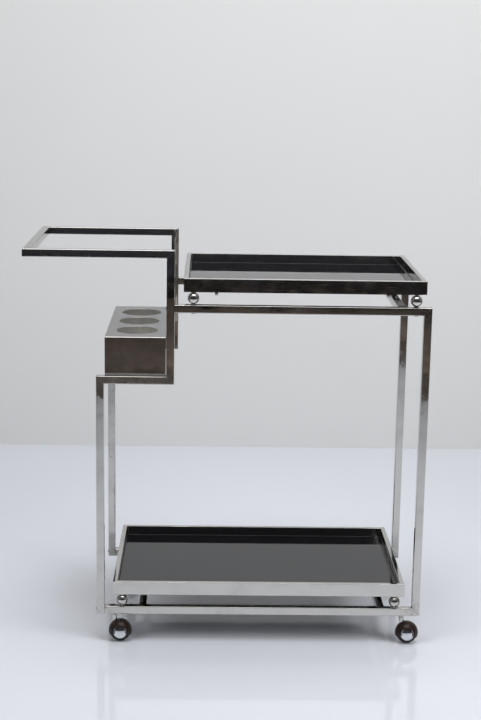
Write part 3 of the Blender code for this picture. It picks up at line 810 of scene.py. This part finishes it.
MILL_STEEL_WITH_PAINTED_LIGHT = build_mill_steel_with_painted_light()
BOX_STEEL = build_polished_steel(
    "polished box steel", (0.46, 0.445, 0.43), (0.39, 0.38, 0.365), (0.72, 0.72, 0.73, 1.0))

box_low, box_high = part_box("bottle_box_shell")
base_low, base_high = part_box("bottle_box_base")
box_middle = (Vector(box_low) + Vector(box_high)) / 2
half_x = (box_high[0] - box_low[0]) / 2
half_y = (box_high[1] - box_low[1]) / 2
foot = base_high[2] + BOX_JOINT - box_middle.z
top = box_high[2] - box_middle.z
shell = folded_body(half_x, half_y, foot, top, BEND_RADIUS)
inside = folded_body(
    half_x - BOX_WALL, half_y - BOX_WALL, foot - CUT_BEYOND, top - BOX_WALL, BEND_RADIUS - BOX_WALL)
tools = [inside]
for i in range(3):
    y = (i - 1) * (BOTTLE_HOLE + BOTTLE_WEB)
    plug = [(TIP, 0.0), (BOTTLE_HOLE / 2, 0.0), (BOTTLE_HOLE / 2, HOLE_CUT), (TIP, HOLE_CUT)]
    mouth = turned(turned_rings(plug, HOLE_STEPS))
    bmesh.ops.translate(mouth, verts=mouth.verts, vec=(0, y, 0))
    tools.append(mouth)
shell = carve(shell, tools)
bmesh.ops.translate(shell, verts=shell.verts, vec=box_middle)
box_piece = add_piece("bottle_box_sheet", shell, BOX_STEEL, CART, ["bottle_box_shell"])
box_piece.data.materials.append(MILL_STEEL_WITH_PAINTED_LIGHT)
for face in box_piece.data.polygons:
    # A face that looks towards the box's middle is the unpolished side of the sheet.
    off_middle = face.center - box_middle
    within = abs(off_middle.x) < half_x - BOX_WALL / 2 and abs(off_middle.y) < half_y - BOX_WALL / 2
    if within and face.center.z < box_high[2] - BOX_WALL / 2:
        face.material_index = 1
ease_edges(box_piece, BOX_EASE, 3)

base_middle = (Vector(base_low) + Vector(base_high)) / 2
base_outline = slab_outline(
    (base_high[0] - base_low[0]) / 2, (base_high[1] - base_low[1]) / 2, BASE_CORNER, 3)
base = prism(base_outline, base_low[2] - base_middle.z, base_high[2] - base_middle.z)
bmesh.ops.translate(base, verts=base.verts, vec=base_middle)
add_piece("bottle_box_floor", base, MILL_STEEL_WITH_PAINTED_LIGHT, CART, ["bottle_box_base"])


# ---- Castors ----
# Ball castors: a plated stem turns in the rail, a moulded dark brown hood covers the wheel,
# and chromed hub caps close both ends of the axle in the hood's side windows.
HOOD_WALL = 0.0014
HOOD_EDGE = 0.0004
HOOD_STEPS = 96
WINDOW_HALF = 0.66
WINDOW_RISE = 0.53
WINDOW_ROUND = 0.34
STEM_SHAFT = 0.87
STEM_REACH = 0.0152
STEM_CENTRE = 0.0005
STEM_EASE = 0.0005
SPIGOT_RADIUS = 0.0034
COLLAR_DROP = 0.0034
GROOVE_DROP = 0.0046
GROOVE_SHARE = 0.74
WHEEL_BORE = 0.0030
WHEEL_STEPS = 72
PARTING_ANGLE = 1.2
PARTING_DEPTH = 0.00015
AXLE_RADIUS = 0.0026
CAP_SEAT = 0.0022
CAP_DEPTH = 0.0012
CAP_LIP = 0.0008
CAP_FLATNESS = 0.75
DOME_SHARE = 0.91


def build_hood_plastic():
    """Moulded plastic, dark brown, with a soft shine, a fine orange peel and light scuffs."""
    made, tree, shader = new_material("moulded castor hood")
    marks = node(tree, "ShaderNodeGroup", node_tree=HANDLING_MARKS)
    marks.inputs["Scale"].default_value = 5.0
    colour = two_colours(tree, marks.outputs["Wipe"], (0.019, 0.0115, 0.010), (0.036, 0.024, 0.021))
    shader.inputs["Specular IOR Level"].default_value = 0.26
    tree.links.new(colour, shader.inputs["Base Color"])
    rough = spread(tree, marks.outputs["Wipe"], 0.0, 1.0, 0.30, 0.46)
    rough = add_share(tree, rough, marks.outputs["Specks"], 0.25)
    tree.links.new(rough, shader.inputs["Roughness"])
    raise_surface(tree, shader, object_noise(tree, 700.0, 2.0), 0.10, 0.0002)
    return made


def build_tread():
    """Hard black tread, dull and scuffed grey where it rolls."""
    made, tree, shader = new_material("black tread")
    marks = node(tree, "ShaderNodeGroup", node_tree=HANDLING_MARKS)
    marks.inputs["Scale"].default_value = 7.0
    grit = object_noise(tree, 900.0, 3.0)
    worn = arithmetic(tree, "MULTIPLY", marks.outputs["Wipe"], grit)
    colour = two_colours(tree, worn, (0.014, 0.014, 0.015), (0.085, 0.082, 0.078))
    tree.links.new(colour, shader.inputs["Base Color"])
    tree.links.new(spread(tree, worn, 0.0, 1.0, 0.42, 0.75), shader.inputs["Roughness"])
    raise_surface(tree, shader, grit, 0.25, 0.0002)
    return made


HOOD_PLASTIC = build_hood_plastic()
CAP_CHROME = build_chrome(
    "bright hub cap plating", (0.80, 0.81, 0.835), (0.70, 0.71, 0.735), 3.0, 0.06)
TREAD = build_tread()


def window_prism(half_width, rise, corner, reach):
    """The shape of a hood's side windows, as a body along Y that is open downwards."""
    outline = [(-half_width, -reach), (half_width, -reach)]
    outline += arc(corner, 0, 90, 8, (half_width - corner, rise - corner))
    outline += arc(corner, 90, 180, 8, (-half_width + corner, rise - corner))
    built = prism([Vector((x, z, 0)) for x, z in outline], -reach, reach)
    bmesh.ops.transform(built, verts=built.verts, matrix=Matrix.Rotation(math.pi / 2, 4, "X"))
    return built


def stem_outline(collar, rail_low):
    """A turned stem as (radius, height): shaft, groove, collar ring and the spigot into the rail."""
    shaft = collar * STEM_SHAFT
    low = rail_low - STEM_REACH
    ring = rail_low - COLLAR_DROP
    return [
        (STEM_CENTRE, low),
        (shaft * 0.96, low),
        (shaft, low + STEM_EASE),
        (shaft, rail_low - GROOVE_DROP),
        (shaft * GROOVE_SHARE, ring - 0.0010),
        (shaft * GROOVE_SHARE, ring),
        (collar * 0.95, ring + 0.0001),
        (collar, ring + STEM_EASE),
        (collar, rail_low - 0.0007),
        (collar * 0.96, rail_low - 0.0003),
        (SPIGOT_RADIUS, rail_low - 0.0002),
        (SPIGOT_RADIUS, rail_low + 0.004)]


def wheel_outline(radius, half_width):
    """Half of a flat sided ball as (radius, height): hollowed face, rounded tread, parting line."""
    face = math.degrees(math.asin(half_width / radius))
    tread = arc(radius, -face, -PARTING_ANGLE, 14)
    flat = tread[0][0]
    hollow = [
        (WHEEL_BORE, -half_width + 0.0016),
        (flat - 0.0045, -half_width + 0.0014),
        (flat - 0.0012, -half_width)]
    return hollow + tread


def cap_outline(cap_radius, seat, reach):
    """One hub cap as (radius, height): seat, rolled lip and a dome that is part of a sphere."""
    lip_top = seat + CAP_DEPTH
    dome_radius = cap_radius * DOME_SHARE
    rise = (reach - lip_top) * CAP_FLATNESS
    ball = (dome_radius ** 2 + rise ** 2) / (2 * rise)
    edge_angle = 90 - math.degrees(math.asin(dome_radius / ball))
    outline = [(AXLE_RADIUS, seat), (cap_radius - CAP_LIP / 2, seat), (cap_radius, seat + CAP_LIP / 2)]
    outline += [(cap_radius, lip_top - 0.0002)]
    outline += [(cap_radius * 0.96, lip_top), (cap_radius * 0.93, lip_top - 0.00015)]
    return outline + arc(ball, edge_angle, 89, 14, (0.0, lip_top + rise - ball))


ALONG_Y = Matrix.Rotation(-math.pi / 2, 3, "X")
for side in SIDES:
    for end in ("left", "right"):
        tag = side + "_" + end
        castor = "castor_" + tag
        hood_low, hood_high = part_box("castor_hood_" + tag)
        wheel_low, wheel_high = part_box("castor_wheel_" + tag)
        axle_low, axle_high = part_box("castor_axle_" + tag)
        stem_low, stem_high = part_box("castor_stem_" + tag)
        hub = (Vector(wheel_low) + Vector(wheel_high)) / 2
        wheel_radius = (wheel_high[0] - wheel_low[0]) / 2
        wheel_half = (wheel_high[1] - wheel_low[1]) / 2

        # The stem is turned from bar, with a thin collar ring under the rail.
        stem_place = ((stem_low[0] + stem_high[0]) / 2, (stem_low[1] + stem_high[1]) / 2, 0.0)
        outline = stem_outline((stem_high[0] - stem_low[0]) / 2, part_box("lower_rail_" + side)[0][2])
        built = turned(turned_rings(outline), None, stem_place)
        add_piece("stem_" + tag, built, SMALL_CHROME, castor, ["castor_stem_" + tag])

        # The hood is one moulding, round outside and in, with a window over each hub cap.
        outer = (hood_high[0] - hood_low[0]) / 2
        inner = outer - HOOD_WALL
        skirt = hub.z - hood_low[2]
        outer_start = -math.degrees(math.asin(skirt / outer))
        inner_start = -math.degrees(math.asin(skirt / inner))
        outline = arc(outer, outer_start, 89.5, 22) + arc(inner, 89.5, inner_start, 22)
        blank = turned(turned_rings(outline, HOOD_STEPS), None, (0, 0, 0), closed_ends=False)
        window = window_prism(
            WINDOW_HALF * wheel_radius, WINDOW_RISE * wheel_radius,
            WINDOW_ROUND * wheel_radius, outer * 2)
        hood = carve(blank, [window])
        bmesh.ops.translate(hood, verts=hood.verts, vec=hub)
        piece = add_piece(
            "hood_" + tag, hood, HOOD_PLASTIC, castor, ["castor_hood_" + tag])
        ease_edges(piece, HOOD_EDGE, 2)

        # The wheel is a ball with flat sides. A parting line runs round its middle.
        half = wheel_outline(wheel_radius, wheel_half)
        outline = half + [(wheel_radius - PARTING_DEPTH, 0.0)] + mirror_image(half)
        built = turned(turned_rings(outline, WHEEL_STEPS), ALONG_Y, hub, closed_ends=False)
        wheel = "wheel_" + tag
        add_piece(wheel + "_ball", built, TREAD, wheel, ["castor_wheel_" + tag])

        # The axle is pressed into the two hub caps, which are domed and have a rolled lip.
        cap_radius = (axle_high[0] - axle_low[0]) / 2
        reach = (axle_high[1] - axle_low[1]) / 2
        half = cap_outline(cap_radius, wheel_half + CAP_SEAT, reach)
        built = turned(turned_rings(mirror_image(half) + half), ALONG_Y, hub)
        add_piece("hub_caps_" + tag, built, CAP_CHROME, castor, ["castor_axle_" + tag])


# ---- Studio ----
# A pale glossy floor sheet and a plain wall under large soft lights. The dim brown room round
# them shows only as reflections in the metal: a camera sees a plain pale ground and sky instead.
SHEET_FRONT = -2.45
CARPET_FRONT = -2.95
SHEET_HALF_WIDTH = 1.9
WALL_Y = 1.43
WALL_HEIGHT = 3.2
ROOM_HALF_WIDTH = 9.0
ROOM_FRONT = -4.8
SKIRTING = 0.13
CARPET_LEVEL = -0.002
GROUND_LEVEL = -0.004


def stage_plane(name, corners, material):
    """A flat four sided surface of the studio."""
    mesh = bpy.data.meshes.new(name)
    mesh.from_pydata(corners, [], [(0, 1, 2, 3)])
    mesh.materials.append(material)
    made = bpy.data.objects.new(name, mesh)
    bpy.context.scene.collection.objects.link(made)


def flat_sheet(name, x, near, far, level, material):
    """A level surface that shows upwards."""
    corners = [(-x, near, level), (x, near, level), (x, far, level), (-x, far, level)]
    stage_plane(name, corners, material)


def upright_sheet(name, x, y, low, high, facing, material):
    """A wall that shows towards the front (1) or the back (-1)."""
    corners = [(-x, y, low), (x, y, low), (x, y, high), (-x, y, high)]
    stage_plane(name, corners[::facing], material)


def choose(tree, factor, first, second):
    """A Mix Shader node between two shaders."""
    mixed = node(tree, "ShaderNodeMixShader")
    for socket, source in zip(mixed.inputs, (factor, first, second)):
        tree.links.new(source, socket)
    return mixed.outputs["Shader"]


def build_studio_surface(name, first, second, roughness, scale, shown=None):
    """A cloudy, one-sided studio surface. A camera sees the plain shown colour in its place."""
    made, tree, shader = new_material(name)
    cloud = object_noise(tree, scale, 4.0)
    tree.links.new(two_colours(tree, cloud, first, second), shader.inputs["Base Color"])
    shader.inputs["Roughness"].default_value = roughness
    surface = shader.outputs["BSDF"]
    if shown:
        plain = node(tree, "ShaderNodeEmission", {"Color": (*shown, 1.0)})
        ray = node(tree, "ShaderNodeLightPath")
        surface = choose(tree, ray.outputs["Is Camera Ray"], surface, plain.outputs["Emission"])
    clear = node(tree, "ShaderNodeBsdfTransparent")
    facing = node(tree, "ShaderNodeNewGeometry")
    surface = choose(tree, facing.outputs["Backfacing"], surface, clear.outputs["BSDF"])
    tree.links.new(surface, tree.nodes["Material Output"].inputs["Surface"])
    return made


PLAIN_GROUND = (0.62, 0.64, 0.68)
PLAIN_WALL = (0.62, 0.63, 0.64)
DIM_ROOM = (0.012, 0.0116, 0.0114, 1.0)
MIRRORED_ROOM = (0.18, 0.183, 0.187, 1.0)
white_sheet = build_studio_surface(
    "pale floor", (0.73, 0.755, 0.82), (0.765, 0.79, 0.855), 0.07, 1.5)
pale_wall = build_studio_surface(
    "pale wall", (0.725, 0.73, 0.728), (0.755, 0.76, 0.76), 0.75, 1.2)
brown_carpet = build_studio_surface(
    "brown carpet", (0.09, 0.073, 0.063), (0.17, 0.14, 0.12), 0.6, 3.0, PLAIN_GROUND)
brown_ground = build_studio_surface(
    "brown ground", (0.27, 0.21, 0.175), (0.58, 0.475, 0.41), 0.5, 2.6, PLAIN_GROUND)
# The room wall's dark blue grey is painted shade: it stands for the unlit room behind the camera that
# the metal mirrors. A camera sees the plain wall colour in its place.
room_wall_painted_shade = build_studio_surface(
    "room wall with painted shade", (0.06, 0.066, 0.092), (0.25, 0.262, 0.315), 0.8, 1.6, PLAIN_WALL)
black_skirting = build_studio_surface(
    "black skirting", (0.010, 0.010, 0.010), (0.022, 0.020, 0.020), 0.6, 3.0, PLAIN_WALL)
flat_sheet("floor", SHEET_HALF_WIDTH, SHEET_FRONT, WALL_Y, 0.0, white_sheet)
flat_sheet("carpet", ROOM_HALF_WIDTH, CARPET_FRONT, SHEET_FRONT, CARPET_LEVEL, brown_carpet)
flat_sheet("ground", ROOM_HALF_WIDTH, -ROOM_HALF_WIDTH, ROOM_HALF_WIDTH, GROUND_LEVEL, brown_ground)
upright_sheet("wall", SHEET_HALF_WIDTH, WALL_Y, 0.0, WALL_HEIGHT, 1, pale_wall)
upright_sheet("skirting", ROOM_HALF_WIDTH, ROOM_FRONT, 0.0, SKIRTING, -1, black_skirting)
upright_sheet("room wall", ROOM_HALF_WIDTH, ROOM_FRONT, SKIRTING, WALL_HEIGHT, -1, room_wall_painted_shade)


def soft_light(name, place, target, size, size_y, power, mirrored):
    """A large rectangular softbox that faces a target. Shiny surfaces mirror it only when asked to."""
    lamp = bpy.data.lights.new(name, "AREA")
    lamp.shape = "RECTANGLE"
    lamp.size = size
    lamp.size_y = size_y
    lamp.energy = power
    made = bpy.data.objects.new(name, lamp)
    bpy.context.scene.collection.objects.link(made)
    made.visible_glossy = mirrored
    made.location = place
    made.rotation_euler = (Vector(target) - Vector(place)).to_track_quat("-Z", "Y").to_euler()


soft_light("left softbox", (-2.3, -1.5, 2.0), (0, 1.2, 0.4), 1.7, 1.7, 32, False)
soft_light("right softbox", (2.3, -1.5, 2.0), (0, 1.2, 0.4), 1.7, 1.7, 49, False)
soft_light("overhead softbox", (0.3, -0.4, 3.2), (0.3, -0.2, 0), 2.6, 2.0, 64, True)

world = bpy.data.worlds.new("dim room")
bpy.context.scene.world = world
world.use_nodes = True
sky = world.node_tree
dim = sky.nodes["Background"]
dim.inputs["Color"].default_value = DIM_ROOM
mirrored = node(sky, "ShaderNodeBackground", {"Color": MIRRORED_ROOM})
plain = node(sky, "ShaderNodeBackground", {"Color": (*PLAIN_WALL, 1.0)})
ray = node(sky, "ShaderNodeLightPath")
seen = choose(
    sky, ray.outputs["Is Glossy Ray"], dim.outputs["Background"], mirrored.outputs["Background"])
seen = choose(sky, ray.outputs["Is Camera Ray"], seen, plain.outputs["Background"])
sky.links.new(seen, sky.nodes["World Output"].inputs["Surface"])
bpy.context.scene.view_settings.view_transform = "Standard"


# ---- Camera ----
# It stands in front of the cart, a little higher than the handle, and looks slightly down.
CAMERA_PLACE = (-0.0404, -3.2703, 1.2893)
CAMERA_PAN = -1.273
CAMERA_TILT = 11.984
CAMERA_ROLL = 0.952
LENS = 74.15
SENSOR_WIDTH = 36.0

camera = bpy.data.objects.new("camera", bpy.data.cameras.new("camera"))
bpy.context.scene.collection.objects.link(camera)
camera.data.lens = LENS
camera.data.sensor_width = SENSOR_WIDTH
camera.location = CAMERA_PLACE
pan = Matrix.Rotation(math.radians(CAMERA_PAN), 3, "Z")
tilt = Matrix.Rotation(math.radians(90 - CAMERA_TILT), 3, "X")
roll = Matrix.Rotation(math.radians(CAMERA_ROLL), 3, "Z")
camera.rotation_euler = (pan @ tilt @ roll).to_euler()
bpy.context.scene.camera = camera
